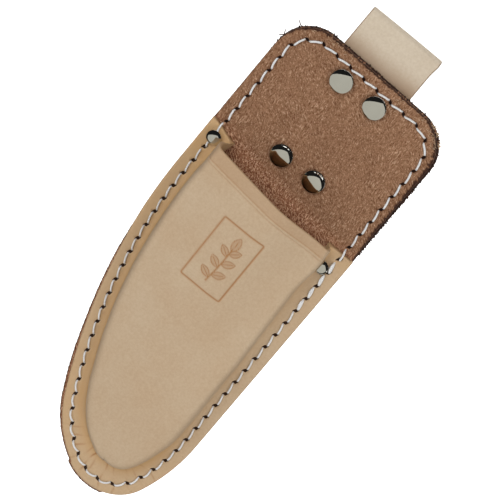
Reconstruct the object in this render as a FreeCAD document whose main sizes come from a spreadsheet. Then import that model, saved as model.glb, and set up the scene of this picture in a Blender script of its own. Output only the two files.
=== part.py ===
import FreeCAD, Part
import math
import os

# A belt sheath for secateurs: a moulded leather pocket sewn and riveted to a
# two-ply back panel, with a folded belt loop riveted behind the top edge.
#
# Frame: +Z up along the hanging sheath, +X to the wearer's view right, and the
# pocket faces -Y. The origin is the centre of the belt tunnel. All lengths are
# in millimetres.

SIZES = [
    # alias, value, meaning
    ("front_plane", 10.5, "distance of the panel's front face ahead of the origin"),
    ("ply_thickness", 2.0, "each of the two plies of the back panel"),
    ("pocket_thickness", 3.0, "leather of the moulded pocket"),
    ("strap_thickness", 3.0, "leather of the belt loop"),
    # outline of the panel, going down the right side, round the toe and up again
    ("edge_right", 42.2, "right edge"),
    ("edge_start", -5.7, "height where the top right corner ends"),
    ("edge_length", 158.9, "straight right edge"),
    ("hip_radius", 93.0, "gentle bend above the toe, right"),
    ("hip_sweep", 20.6, "degrees"),
    ("toe_radius", 22.2, "toe"),
    ("toe_sweep", 99.5, "degrees"),
    ("heel_radius", 50.8, "bend left of the toe"),
    ("heel_sweep", 35.6, "degrees"),
    ("flank_radius", 273.8, "long curved left edge"),
    ("left_lean", 1.4, "lean of the upper left edge, degrees"),
    ("top_fall", 1.9, "fall of the top edge to the right, degrees"),
    ("corner_radius", 17.0, "both top corners"),
    # moulded pocket
    ("dish_right", 30.3, "right wall of the dish at its upper end"),
    ("dish_start", -40.0, "height of that upper end, above the mouth"),
    ("dish_length", 119.0, "straight right wall"),
    ("dish_lean", 1.4, "lean of the right wall, degrees"),
    ("dish_inset", 8.8, "sewn flange between the dish and the edge"),
    ("dish_flank_sweep", 25.1, "degrees of the long left wall"),
    ("curl_radius", 40.0, "left wall turning in below the mouth"),
    ("curl_sweep", 22.0, "degrees"),
    ("curl_run", 14.0, "straight end of the left wall, above the mouth"),
    ("dish_depth", 20.0, "outer height of the dish at the mouth"),
    ("toe_depth", 14.5, "outer height of the dish at the toe"),
    ("mouth_height", -51.4, "height of the mouth line at x = 0"),
    ("mouth_slant", 7.5, "fall of the mouth line to the right, degrees"),
    ("toe_height", -206.0, "height at which toe_depth is measured"),
    ("shoulder_radius", 6.0, "outer edge of the dish"),
    # belt loop
    ("strap_width", 35.0, "belt loop"),
    ("strap_front_end", -7.0, "height of the front leg's lower end"),
    ("fold_height", 23.8, "height of the fold's centre"),
    ("fold_radius", 3.5, "inside the fold"),
    ("tuck_height", -17.0, "height where the rear leg bends towards the panel"),
    ("tuck_radius", 9.0, "middle line of both bends there"),
    ("strap_rear_end", -47.0, "height of the rear leg's lower end"),
    ("groove_width", 3.4, "hollow pressed into the strap by the top seam"),
    # seam
    ("seam_inset", 5.2, "distance of the seam from the edge"),
    ("stitch_pitch", 7.1, "nearest length of one stitch"),
    ("thread_size", 0.75, "thread"),
    ("slit_length", 2.0, "awl slit, along the seam"),
    ("slit_width", 1.3, "awl slit, across the seam"),
    # rivets: large ones hold the loop, small ones the corners of the mouth
    ("upper_rivet_height", 0.9, "upper pair"),
    ("lower_rivet_height", -39.4, "lower pair"),
    ("rivet_spacing", 17.0, "between the rivets of a pair"),
    ("mouth_left_x", -34.6, "small rivet"),
    ("mouth_left_z", -51.0, "small rivet"),
    ("mouth_right_x", 33.3, "small rivet"),
    ("mouth_right_z", -64.8, "small rivet"),
    ("large_head_radius", 5.0, "domed head"),
    ("large_head_rise", 3.0, "domed head"),
    ("large_cap_rise", 1.6, "low cap at the back"),
    ("large_stem_radius", 1.6, "tubular stem"),
    ("small_head_radius", 3.25, "domed head"),
    ("small_head_rise", 2.2, "domed head"),
    ("small_cap_rise", 1.4, "low cap at the back"),
    ("small_stem_radius", 1.2, "tubular stem"),
    ("cap_share", 0.95, "radius of the back cap as a share of the head's"),
    ("shell_thickness", 0.4, "sheet metal of the rivets"),
    ("stem_wall", 0.5, "tubular stems"),
    ("hole_clearance", 0.1, "leather hole around a stem, on the radius"),
]

doc = FreeCAD.newDocument("secateurs_sheath")
sheet = doc.addObject("Spreadsheet::Sheet", "sizes")
for row, (alias, value, meaning) in enumerate(SIZES, start=1):
    sheet.set(f"A{row}", alias)
    sheet.set(f"B{row}", str(value))
    sheet.set(f"C{row}", meaning)
    sheet.setAlias(f"B{row}", alias)
doc.recompute()


def size(alias):
    """Value of one cell of the sheet."""
    return float(getattr(sheet, alias))


# ---------------------------------------------------------------- outlines
# An outline is a list of steps: ("line", length) or ("arc", radius, sweep),
# where a positive sweep turns right. It is traced from a start and a heading,
# in degrees, in the plane of the sketch that uses it.

def heading_vector(heading):
    angle = math.radians(heading)
    return FreeCAD.Vector(math.cos(angle), math.sin(angle), 0)


def right_of(heading):
    return heading_vector(heading - 90)


def trace(start, heading, steps):
    """Turn steps into segments: (kind, start, end, heading, length, radius, sweep)."""
    segments = []
    point = FreeCAD.Vector(start)
    for step in steps:
        if step[0] == "line":
            end = point + heading_vector(heading) * step[1]
            segments.append(("line", point, end, heading, step[1], 0.0, 0.0))
        else:
            radius, sweep = step[1:]
            side = math.copysign(1, sweep)
            centre = point + right_of(heading) * radius * side
            end = centre - right_of(heading - sweep) * radius * side
            length = radius * math.radians(abs(sweep))
            segments.append(("arc", point, end, heading, length, radius, sweep))
            heading = heading - sweep
        point = end
    return segments


def place_on(segment, distance):
    """Point and heading at a distance along one segment."""
    kind, start, end, heading, length, radius, sweep = segment
    if kind == "line":
        return start + heading_vector(heading) * distance, heading
    side = math.copysign(1, sweep)
    turned = heading - sweep * distance / length
    centre = start + right_of(heading) * radius * side
    return centre - right_of(turned) * radius * side, turned


def moved_in(start, heading, steps, inset):
    """The same outline, moved to its right by inset."""
    new_steps = []
    for step in steps:
        if step[0] == "arc":
            step = ("arc", step[1] - inset * math.copysign(1, step[2]), step[2])
        new_steps.append(step)
    return start + right_of(heading) * inset, heading, new_steps


def add_segments(sketch, segments):
    for segment in segments:
        kind, start, end, heading, length, radius, sweep = segment
        if kind == "line":
            sketch.addGeometry(Part.LineSegment(start, end), False)
        else:
            middle = place_on(segment, length / 2)[0]
            sketch.addGeometry(Part.Arc(start, middle, end), False)


def panel_path(inset=0.0):
    """Closed outline of the panel. The left edge and the top edge close it."""
    side_turn = size("hip_sweep") + size("toe_sweep") + size("heel_sweep")
    flank_sweep = 180 + size("left_lean") - side_turn
    corner = size("corner_radius")
    heading = -90.0
    start = FreeCAD.Vector(size("edge_right"), size("edge_start"), 0)

    def steps(left_run, top_run):
        return [
            ("line", size("edge_length")),
            ("arc", size("hip_radius"), size("hip_sweep")),
            ("arc", size("toe_radius"), size("toe_sweep")),
            ("arc", size("heel_radius"), size("heel_sweep")),
            ("arc", size("flank_radius"), flank_sweep),
            ("line", left_run),
            ("arc", corner, 90 + size("top_fall") - size("left_lean")),
            ("line", top_run),
            ("arc", corner, 90 - size("top_fall")),
        ]

    gap = start - trace(start, heading, steps(0, 0))[-1][2]
    left_way = heading_vector(90 - size("left_lean"))
    top_way = heading_vector(-size("top_fall"))
    cross = left_way.x * top_way.y - left_way.y * top_way.x
    left_run = (gap.x * top_way.y - gap.y * top_way.x) / cross
    top_run = (left_way.x * gap.y - left_way.y * gap.x) / cross
    return trace(*moved_in(start, heading, steps(left_run, top_run), inset))


def dish_path(inset=0.0):
    """Outer wall of the dish, open at its upper end, then closed by a line."""
    flange = size("dish_inset")
    steps = [
        ("line", size("dish_length")),
        ("arc", size("hip_radius") - flange, size("hip_sweep") + size("dish_lean")),
        ("arc", size("toe_radius") - flange, size("toe_sweep")),
        ("arc", size("heel_radius") - flange, size("heel_sweep")),
        ("arc", size("flank_radius") - flange, size("dish_flank_sweep")),
        ("arc", size("curl_radius"), size("curl_sweep")),
        ("line", size("curl_run")),
    ]
    start = FreeCAD.Vector(size("dish_right"), size("dish_start"), 0)
    heading = size("dish_lean") - 90
    segments = trace(*moved_in(start, heading, steps, inset))
    first, last = segments[0][1], segments[-1][2]
    segments.append(("line", last, first, 0.0, (first - last).Length, 0.0, 0.0))
    return segments


# ----------------------------------------------------------------- seam
RIVETS = {
    # name: (x, z, kind), the places as expressions in the sheet's cells
    "upper_left": ("-sizes.rivet_spacing / 2", "sizes.upper_rivet_height", "large"),
    "upper_right": ("sizes.rivet_spacing / 2", "sizes.upper_rivet_height", "large"),
    "lower_left": ("-sizes.rivet_spacing / 2", "sizes.lower_rivet_height", "large"),
    "lower_right": ("sizes.rivet_spacing / 2", "sizes.lower_rivet_height", "large"),
    "mouth_left": ("sizes.mouth_left_x", "sizes.mouth_left_z", "small"),
    "mouth_right": ("sizes.mouth_right_x", "sizes.mouth_right_z", "small"),
}
PLACES = {
    "upper_left": (-size("rivet_spacing") / 2, size("upper_rivet_height")),
    "upper_right": (size("rivet_spacing") / 2, size("upper_rivet_height")),
    "lower_left": (-size("rivet_spacing") / 2, size("lower_rivet_height")),
    "lower_right": (size("rivet_spacing") / 2, size("lower_rivet_height")),
    "mouth_left": (size("mouth_left_x"), size("mouth_left_z")),
    "mouth_right": (size("mouth_right_x"), size("mouth_right_z")),
}


def seam_holes():
    """Evenly spaced awl holes round the whole panel: (point, heading)."""
    segments = panel_path(size("seam_inset"))
    total = sum(segment[4] for segment in segments)
    count = round(total / size("stitch_pitch"))
    holes = []
    for number in range(count):
        distance = (number + 0.5) * total / count
        for segment in segments:
            if distance <= segment[4]:
                holes.append(place_on(segment, distance))
                break
            distance -= segment[4]
    return holes


def from_mouth_rivet(point):
    """Distance to the nearer of the two small rivets, which stand on the seam."""
    gaps = []
    for name in ("mouth_left", "mouth_right"):
        gaps.append((point - FreeCAD.Vector(*PLACES[name], 0)).Length)
    return min(gaps)


def below_mouth(point):
    """How far a point lies below the mouth line."""
    slope = math.tan(math.radians(size("mouth_slant")))
    return size("mouth_height") - slope * point.x - point.y


HOLES = seam_holes()
STEM_ROOM = size("small_stem_radius") + size("slit_length")
SLITS = [hole for hole in HOLES if from_mouth_rivet(hole[0]) > STEM_ROOM]


# ------------------------------------------------------------ body helpers
def new_body(label):
    """A body whose own y = 0 is the panel's front face."""
    body = doc.addObject("PartDesign::Body", label)
    body.Label = label
    body.setExpression("Placement.Base.y", "-sizes.front_plane")
    return body


def new_sketch(body, name, plane):
    sketch = body.newObject("Sketcher::SketchObject", name)
    role = [item for item in body.Origin.OriginFeatures if item.Role == plane][0]
    sketch.AttachmentSupport = [(role, "")]
    sketch.MapMode = "FlatFace"
    return sketch


def pad(body, sketch, length, backwards=False, midplane=False):
    feature = body.newObject("PartDesign::Pad", sketch.Name + "_pad")
    feature.Profile = sketch
    feature.Reversed = backwards
    feature.Midplane = midplane
    feature.setExpression("Length", length)
    sketch.Visibility = False
    doc.recompute()
    return feature


def pocket_through(body, sketch):
    """Cut right through, and make sure that something was cut."""
    before = body.Shape.Volume
    feature = body.newObject("PartDesign::Pocket", sketch.Name + "_cut")
    feature.Profile = sketch
    feature.Type = "ThroughAll"
    feature.Midplane = True
    doc.recompute()
    assert body.Shape.Volume < before - 0.01, sketch.Name
    return feature


def add_circles(sketch, names, radius):
    for name in names:
        centre = FreeCAD.Vector(*PLACES[name], 0)
        sketch.addGeometry(Part.Circle(centre, FreeCAD.Vector(0, 0, 1), radius), False)


def stem_hole(kind):
    return size(kind + "_stem_radius") + size("hole_clearance")


def add_slits(sketch, holes):
    half_length = size("slit_length") / 2
    half_width = size("slit_width") / 2
    for point, heading in holes:
        along = heading_vector(heading) * half_length
        across = right_of(heading) * half_width
        corners = [point + along + across, point + along - across,
                   point - along - across, point - along + across]
        for number, corner in enumerate(corners):
            sketch.addGeometry(Part.LineSegment(corner, corners[number - 3]), False)


# ----------------------------------------------------------------- plies
def make_ply(label, depth):
    """One ply of the back panel; depth moves it behind the front face."""
    body = new_body(label)
    body.setExpression("Placement.Base.y", f"{depth} - sizes.front_plane")
    outline = new_sketch(body, label + "_outline", "XZ_Plane")
    add_segments(outline, panel_path())
    pad(body, outline, "sizes.ply_thickness", backwards=True)
    posts = new_sketch(body, label + "_stems", "XZ_Plane")
    add_circles(posts, [name for name in RIVETS if RIVETS[name][2] == "large"],
                stem_hole("large"))
    add_circles(posts, [name for name in RIVETS if RIVETS[name][2] == "small"],
                stem_hole("small"))
    pocket_through(body, posts)
    slits = new_sketch(body, label + "_slits", "XZ_Plane")
    add_slits(slits, SLITS)
    pocket_through(body, slits)
    return body


# ---------------------------------------------------------------- pocket
def top_face_edges(feature):
    """Names of the edges round the dish's sloping top, its largest front face."""
    shape = feature.Shape
    front = []
    for face in shape.Faces:
        normal = face.normalAt(0, 0)
        if normal.y < -0.99 and abs(normal.z) > 0.001:
            front.append(face)
    top = max(front, key=lambda face: face.Area)
    names = []
    for number, edge in enumerate(shape.Edges, start=1):
        if any(edge.isSame(other) for other in top.Edges):
            names.append(f"Edge{number}")
    return names


def cut_slope(body, name, lower_by):
    """Cut the dish down to its sloping top, deeper at the mouth than the toe."""
    sketch = new_sketch(body, name, "YZ_Plane")
    toe = -(size("toe_depth") - lower_by)
    fall = size("dish_depth") - size("toe_depth")
    slope = fall / (size("mouth_height") - size("toe_height"))
    beyond = 20
    top_z = size("dish_start") + beyond
    top = toe - slope * (top_z - size("toe_height"))
    bottom_z = size("toe_height") - beyond
    bottom = toe - slope * (bottom_z - size("toe_height"))
    outside = -3 * size("dish_depth")
    corners = [(top, top_z), (bottom, bottom_z), (outside, bottom_z), (outside, top_z)]
    points = [FreeCAD.Vector(y, z, 0) for y, z in corners]
    for number, point in enumerate(points):
        sketch.addGeometry(Part.LineSegment(point, points[number - 3]), False)
    pocket_through(body, sketch)


def round_top(body, radius):
    sloped = body.Tip
    feature = body.newObject("PartDesign::Fillet", body.Name + "_shoulder")
    feature.Base = (sloped, top_face_edges(sloped))
    feature.setExpression("Radius", radius)
    body.Tip = feature
    doc.recompute()


def make_pocket():
    outer = new_body("pocket_outer")
    flange = new_sketch(outer, "flange_outline", "XZ_Plane")
    add_segments(flange, panel_path())
    dish = new_sketch(outer, "dish_outline", "XZ_Plane")
    add_segments(dish, dish_path())
    pad(outer, dish, "sizes.dish_depth + 10")
    cut_slope(outer, "dish_slope", 0.0)
    round_top(outer, "sizes.shoulder_radius")
    pad(outer, flange, "sizes.pocket_thickness")
    posts = new_sketch(outer, "pocket_stems", "XZ_Plane")
    add_circles(posts, ["mouth_left", "mouth_right"], stem_hole("small"))
    pocket_through(outer, posts)
    slits = new_sketch(outer, "pocket_slits", "XZ_Plane")
    add_slits(slits, [hole for hole in SLITS if below_mouth(hole[0]) > size("slit_length")])
    pocket_through(outer, slits)

    inner = new_body("pocket_hollow")
    hollow = new_sketch(inner, "hollow_outline", "XZ_Plane")
    add_segments(hollow, dish_path(size("pocket_thickness")))
    pad(inner, hollow, "sizes.dish_depth + 10")
    cut_slope(inner, "hollow_slope", size("pocket_thickness"))
    round_top(inner, "sizes.shoulder_radius - sizes.pocket_thickness")

    above = doc.addObject("Part::Box", "above_mouth")
    above.Length = 200
    above.Width = 100
    above.Height = 200
    turn = FreeCAD.Rotation(FreeCAD.Vector(0, 1, 0), size("mouth_slant"))
    corner = FreeCAD.Vector(0, -50, size("mouth_height"))
    above.Placement = FreeCAD.Placement(corner + turn.multVec(FreeCAD.Vector(-100, 0, 0)), turn)

    shell = doc.addObject("Part::Cut", "pocket_shell")
    shell.Base = outer
    shell.Tool = inner
    front_pocket = doc.addObject("Part::Cut", "front_pocket")
    front_pocket.Base = shell
    front_pocket.Tool = above
    front_pocket.Label = "front_pocket"
    doc.recompute()
    return front_pocket


# -------------------------------------------------------------- belt loop
def make_loop():
    """A strap folded over behind the top edge, with both ends on the panel."""
    body = new_body("belt_loop")
    half = size("strap_thickness") / 2
    fold = size("fold_radius") + half
    plies = 2 * size("ply_thickness")
    bend = size("tuck_radius")
    tuck_turn = math.degrees(math.acos(1 - fold / bend))
    tuck_drop = 2 * bend * math.sin(math.radians(tuck_turn))
    steps = [
        ("line", size("fold_height") - size("strap_front_end")),
        ("arc", fold, 180),
        ("line", size("fold_height") - size("tuck_height")),
        ("arc", bend, tuck_turn),
        ("arc", bend, -tuck_turn),
        ("line", size("tuck_height") - tuck_drop - size("strap_rear_end")),
    ]
    start = FreeCAD.Vector(plies + half, size("strap_front_end"), 0)
    near = trace(*moved_in(start, 90, steps, half))
    far = trace(*moved_in(start, 90, steps, -half))
    profile = new_sketch(body, "loop_profile", "YZ_Plane")
    add_segments(profile, near + far)
    profile.addGeometry(Part.LineSegment(near[0][1], far[0][1]), False)
    profile.addGeometry(Part.LineSegment(near[-1][2], far[-1][2]), False)
    pad(body, profile, "sizes.strap_width", midplane=True)

    groove = new_sketch(body, "loop_groove", "YZ_Plane")
    seam_top = panel_path(size("seam_inset"))[7]
    seam_z = seam_top[1].y + (0 - seam_top[1].x) * math.tan(math.radians(-size("top_fall")))
    half_groove = size("groove_width") / 2
    depth = plies + size("thread_size") + 0.05
    corners = [(0, -half_groove), (depth, -half_groove), (depth, half_groove), (0, half_groove)]
    points = [FreeCAD.Vector(y, seam_z + z, 0) for y, z in corners]
    for number, point in enumerate(points):
        groove.addGeometry(Part.LineSegment(point, points[number - 3]), False)
    pocket_through(body, groove)

    for pair in ("upper", "lower"):
        before = body.Shape.Volume
        holes = new_sketch(body, pair + "_holes", "XZ_Plane")
        add_circles(holes, [pair + "_left", pair + "_right"], stem_hole("large"))
        feature = body.newObject("PartDesign::Pocket", pair + "_holes_cut")
        feature.Profile = holes
        feature.setExpression("Length", "2 * sizes.ply_thickness + sizes.strap_thickness + 1")
        doc.recompute()
        assert body.Shape.Volume < before - 1, pair
    return body


# ----------------------------------------------------------------- rivets
def shell_profile(radius, rise, face, way):
    """Half section of a domed shell with a lip turned in under it.

    face is where the lip rests and way is -1 for a head, 1 for a back cap.
    """
    wall = size("shell_thickness")
    sphere = (radius ** 2 + rise ** 2) / (2 * rise)
    centre = rise - sphere
    lip = 0.72 * radius

    def on_sphere(ball, level):
        return math.sqrt(ball ** 2 - (level - centre) ** 2)

    def at(level, reach):
        return FreeCAD.Vector(face + way * level, reach, 0)

    middle = 0.75 * rise
    inner = sphere - wall
    inner_middle = 0.6 * (rise - wall)
    return [
        Part.Arc(at(0, radius), at(middle, on_sphere(sphere, middle)), at(rise, 0)),
        Part.LineSegment(at(rise, 0), at(rise - wall, 0)),
        Part.Arc(at(rise - wall, 0), at(inner_middle, on_sphere(inner, inner_middle)),
                 at(wall, on_sphere(inner, wall))),
        Part.LineSegment(at(wall, on_sphere(inner, wall)), at(wall, lip)),
        Part.LineSegment(at(wall, lip), at(0, lip)),
        Part.LineSegment(at(0, lip), at(0, radius)),
    ]


def polygon_profile(corners):
    points = [FreeCAD.Vector(y, reach, 0) for y, reach in corners]
    lines = []
    for number, point in enumerate(points):
        lines.append(Part.LineSegment(point, points[number - len(points) + 1]))
    return lines


def stem_profile(kind, stack):
    """Tubular stem with a flange that sits on the head's lip."""
    wall = size("shell_thickness")
    radius = size(kind + "_stem_radius")
    bore = radius - size("stem_wall")
    flange = 0.8 * size(kind + "_head_radius")
    end = stack + size(kind + "_cap_rise") - wall - 0.15
    return polygon_profile([(-2 * wall, bore), (-2 * wall, flange), (-wall, flange),
                            (-wall, radius), (end, radius), (end, bore)])


def socket_profile(kind, stack):
    """Ring inside the back cap that grips the stem."""
    wall = size("shell_thickness")
    outer = 0.8 * size(kind + "_head_radius") * size("cap_share")
    inner = size(kind + "_stem_radius")
    low = stack + wall
    return polygon_profile([(low, inner), (low, outer), (low + wall / 2, outer),
                            (low + wall / 2, inner)])


def revolve(label, geometry, name, base):
    """Turn a half section about the rivet's own axis, which runs along y."""
    body = doc.addObject("PartDesign::Body", label)
    body.Label = label
    sketch = new_sketch(body, label + "_section", "YZ_Plane")
    sketch.addGeometry(geometry, False)
    feature = body.newObject("PartDesign::Revolution", label + "_turn")
    feature.Profile = sketch
    feature.ReferenceAxis = (sketch, ["H_Axis"])
    feature.Angle = 360
    body.setExpression("Placement.Base.x", RIVETS[name][0])
    body.setExpression("Placement.Base.y", base)
    body.setExpression("Placement.Base.z", RIVETS[name][1])
    return body


def make_rivet(name):
    kind = RIVETS[name][2]
    radius = size(kind + "_head_radius")
    if kind == "large":
        stack = 2 * size("ply_thickness") + size("strap_thickness")
        base = "-sizes.front_plane"
    else:
        stack = 2 * size("ply_thickness") + size("pocket_thickness")
        base = "-sizes.front_plane - sizes.pocket_thickness"
    head = shell_profile(radius, size(kind + "_head_rise"), 0, -1)
    cap = shell_profile(radius * size("cap_share"), size(kind + "_cap_rise"), stack, 1)
    return [
        revolve(name + "_rivet_head", head, name, base),
        revolve(name + "_rivet_stem", stem_profile(kind, stack), name, base),
        revolve(name + "_rivet_socket", socket_profile(kind, stack), name, base),
        revolve(name + "_rivet_cap", cap, name, base),
    ]


# ---------------------------------------------------------------- threads
def staple(start, end, surface, tip):
    """One stitch: a run on the leather and a leg down each hole.

    surface is the face the run lies on and tip the level where the legs meet
    the other thread, both measured behind the panel's front face.
    """
    thread = size("thread_size")
    along = end - start
    length = along.Length
    along.normalize()
    outside = surface + math.copysign(thread, surface - tip)
    gap = 0.1
    outline = [(gap, tip), (gap, outside), (length - gap, outside), (length - gap, tip),
               (length - gap - thread, tip), (length - gap - thread, surface),
               (gap + thread, surface), (gap + thread, tip)]
    side = FreeCAD.Vector(-along.y, 0, along.x) * thread
    points = []
    for run, depth in outline:
        spot = start + along * run
        points.append(FreeCAD.Vector(spot.x, depth, spot.y) - side / 2)
    return Part.Face(Part.makePolygon(points + points[:1])).extrude(side)


def make_thread(label, front):
    """All the stitches of one thread, each a solid of its own."""
    plies = 2 * size("ply_thickness")
    clear = size("small_head_radius") + size("thread_size")
    stitches = []
    for number, (end, heading) in enumerate(HOLES):
        start = HOLES[number - 1][0]
        nearest = min(from_mouth_rivet(start + (end - start) * share)
                      for share in (0, 0.25, 0.5, 0.75, 1))
        if nearest < clear:
            continue
        surface = plies
        if front:
            on_flange = max(below_mouth(start), below_mouth(end)) > 0
            surface = -size("pocket_thickness") if on_flange else 0.0
        tip = plies * (0.3 if surface == plies else 0.25)
        stitches.append(staple(start, end, surface, tip))
    feature = doc.addObject("Part::Feature", label)
    feature.Label = label
    feature.Shape = Part.makeCompound(stitches)
    feature.Placement = FreeCAD.Placement(
        FreeCAD.Vector(0, -size("front_plane"), 0), FreeCAD.Rotation())
    return feature


# ----------------------------------------------------------------- build
pieces = [
    make_ply("suede_panel", "0"),
    make_ply("backing_panel", "sizes.ply_thickness"),
    make_pocket(),
    make_loop(),
    make_thread("needle_thread", front=True),
    make_thread("bobbin_thread", front=False),
]
for rivet_name in RIVETS:
    pieces += make_rivet(rivet_name)
doc.recompute()

for item in doc.Objects:
    assert "Invalid" not in item.State, item.Label
    assert "Error" not in item.State, item.Label
for piece in pieces:
    assert not piece.Shape.isNull(), piece.Label
    assert piece.Shape.isValid(), piece.Label

os.makedirs("parts", exist_ok=True)
for piece in pieces:
    piece.Shape.exportStep(f"parts/{piece.Label}.step")
    box = piece.Shape.BoundBox
    print(f"{piece.Label:28s} solids {len(piece.Shape.Solids):3d}  "
          f"volume {piece.Shape.Volume:10.1f}  "
          f"x {box.XMin:7.2f} {box.XMax:7.2f}  y {box.YMin:7.2f} {box.YMax:7.2f}  "
          f"z {box.ZMin:8.2f} {box.ZMax:7.2f}")
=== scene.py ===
import math

import bmesh
import bpy
import numpy as np
from mathutils import Matrix, Vector, noise
from mathutils.kdtree import KDTree


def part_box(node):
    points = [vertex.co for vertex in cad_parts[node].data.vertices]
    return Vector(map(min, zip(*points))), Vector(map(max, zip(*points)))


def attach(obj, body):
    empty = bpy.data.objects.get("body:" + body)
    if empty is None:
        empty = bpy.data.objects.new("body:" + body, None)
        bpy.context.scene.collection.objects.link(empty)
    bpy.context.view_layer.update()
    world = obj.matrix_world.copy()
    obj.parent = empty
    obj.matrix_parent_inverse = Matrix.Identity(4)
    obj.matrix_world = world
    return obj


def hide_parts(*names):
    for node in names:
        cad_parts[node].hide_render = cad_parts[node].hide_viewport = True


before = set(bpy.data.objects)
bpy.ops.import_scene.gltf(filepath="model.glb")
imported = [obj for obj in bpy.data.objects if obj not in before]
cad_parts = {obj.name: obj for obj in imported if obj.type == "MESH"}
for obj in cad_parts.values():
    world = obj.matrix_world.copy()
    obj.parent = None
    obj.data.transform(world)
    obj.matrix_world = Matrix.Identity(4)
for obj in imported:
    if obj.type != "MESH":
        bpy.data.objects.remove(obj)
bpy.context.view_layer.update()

# Lengths are in millimetres in this script's own curves and grids, in the CAD
# frame, and become metres when a mesh is made. A point is (x, z, rise), where
# rise is measured forward from the front face of the suede panel.
MM = 0.001


def node_box(node):
    low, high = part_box(node)
    return np.array(low) / MM, np.array(high) / MM


PANEL_LOW, PANEL_HIGH = node_box("suede_panel")
LOOP_LOW, LOOP_HIGH = node_box("belt_loop")
FRONT = -PANEL_LOW[1]
PANEL_DEPTH = node_box("backing_panel")[1][1] - PANEL_LOW[1]
PLY = PANEL_DEPTH / 2
PLY_GAP = 0.04
POCKET_RISE = -node_box("front_pocket")[0][1] - FRONT
LEATHER = 3.0

# the driving dimensions of part.py: (radius, degrees) of the bends that the panel
# and the dish share, the straight edges, and the seam
BENDS = [(93.0, 20.6), (22.2, 99.5), (50.8, 35.6)]
BENDS_SWEEP = sum(sweep for _, sweep in BENDS)
FLANK_RADIUS = 273.8
EDGE_START, EDGE_RUN = -5.7, 158.9
LEAN, TOP_FALL, TOP_CORNER = 1.4, 1.9, 17.0
DISH_START, DISH_RUN, DISH_INSET = (30.3, -40.0), 119.0, 8.8
DISH_FLANK_SWEEP, CURL_RADIUS, CURL_SWEEP, CURL_RUN = 25.1, 40.0, 22.0, 14.0
SEAM_INSET = 5.2
STITCH_PITCH = 7.1
MOUTH_HEIGHT = -51.4
MOUTH_SLOPE = math.tan(math.radians(7.5))
PANEL_RIVETS = ["upper_left", "upper_right", "lower_left", "lower_right"]
MOUTH_RIVETS = ["mouth_left", "mouth_right"]
LARGE_HEAD, SMALL_HEAD = 5.0, 3.25


def rivet_centre(name):
    low, high = node_box(name + "_rivet_head")
    return np.array([(low[0] + high[0]) / 2, (low[2] + high[2]) / 2])


RIVETS = {name: rivet_centre(name) for name in PANEL_RIVETS + MOUTH_RIVETS}


# ---- curves
def heading_vector(heading):
    angle = math.radians(heading)
    return np.array([math.cos(angle), math.sin(angle)])


def trace(start, heading, steps, spacing=0.2):
    """Points along lines and right-turning arcs."""
    points = [np.array(start, float)]
    for step in steps:
        base = points[-1]
        if step[0] == "line":
            count = max(2, int(step[1] / spacing))
            for part in np.linspace(0, 1, count + 1)[1:]:
                points.append(base + heading_vector(heading) * step[1] * part)
        else:
            radius, sweep = step[1:]
            centre = base + heading_vector(heading - 90) * radius
            count = max(2, int(radius * math.radians(sweep) / spacing))
            for part in np.linspace(0, 1, count + 1)[1:]:
                points.append(centre - heading_vector(heading - sweep * part - 90) * radius)
            heading -= sweep
    return np.array(points)


def side_arcs(inset):
    return [("arc", radius - inset, sweep) for radius, sweep in BENDS]


def panel_curve(inset=0.0):
    """The panel's outline, from the right side's top, down and round."""
    start = np.array([PANEL_HIGH[0] - inset, EDGE_START])
    flank_sweep = 180 + LEAN - BENDS_SWEEP

    def steps(left_run, top_run):
        return ([("line", EDGE_RUN)] + side_arcs(inset)
                + [("arc", FLANK_RADIUS - inset, flank_sweep), ("line", left_run),
                   ("arc", TOP_CORNER - inset, 90 + TOP_FALL - LEAN), ("line", top_run),
                   ("arc", TOP_CORNER - inset, 90 - TOP_FALL)])

    gap = start - trace(start, -90, steps(0, 0))[-1]
    ways = np.column_stack([heading_vector(90 - LEAN), heading_vector(-TOP_FALL)])
    return trace(start, -90, steps(*np.linalg.solve(ways, gap)))


def dish_curve():
    """Foot of the moulded wall, from the right end above the mouth, round the toe."""
    hip, toe, heel = side_arcs(DISH_INSET)
    steps = [("line", DISH_RUN), ("arc", hip[1], hip[2] + LEAN), toe, heel,
             ("arc", FLANK_RADIUS - DISH_INSET, DISH_FLANK_SWEEP),
             ("arc", CURL_RADIUS, CURL_SWEEP), ("line", CURL_RUN)]
    return trace(DISH_START, -90 + LEAN, steps)


def unit(vectors):
    return vectors / np.maximum(np.linalg.norm(vectors, axis=-1, keepdims=True), 1e-9)


def directions(curve):
    """Unit direction of travel at every point of a curve."""
    return unit(np.gradient(curve, axis=0))


def lengths_along(curve):
    steps = np.linalg.norm(np.diff(curve, axis=0), axis=1)
    return np.concatenate([[0], np.cumsum(steps)])


def resample(curve, places):
    """Points of the curve at the given shares of its length."""
    along = lengths_along(curve)
    wanted = np.asarray(places) * along[-1]
    return np.column_stack([np.interp(wanted, along, curve[:, axis]) for axis in (0, 1)])


def mouth_line(x):
    return MOUTH_HEIGHT - MOUTH_SLOPE * x


def below_mouth(points):
    return mouth_line(points[..., 0]) - points[..., 1]


def clipped(curve):
    """The stretch of a curve below the mouth line, with ends on the line."""
    depth = below_mouth(curve)
    inside = np.nonzero(depth > 0)[0]
    first, last = inside[0], inside[-1]

    def crossing(a, b):
        share = depth[a] / (depth[a] - depth[b])
        return curve[a] + (curve[b] - curve[a]) * share

    return np.vstack([crossing(first, first - 1), curve[first:last + 1],
                      crossing(last, last + 1)])


def mouth_lift(x, depth):
    """How much higher than the straight line the mouth's two ends run."""
    left = 1.7 * smooth_step(-28, -38, x)
    right = 0.3 * smooth_step(8, 28, x) + 1.3 * smooth_step(29, 40, x)
    return (left + right) * smooth_step(22, 0, depth)


def smooth_step(low, high, value):
    share = np.clip((np.asarray(value, float) - low) / (high - low), 0, 1)
    return share * share * (3 - 2 * share)


def bell(distance, width):
    return np.exp(-(distance / width) ** 2)


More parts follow.
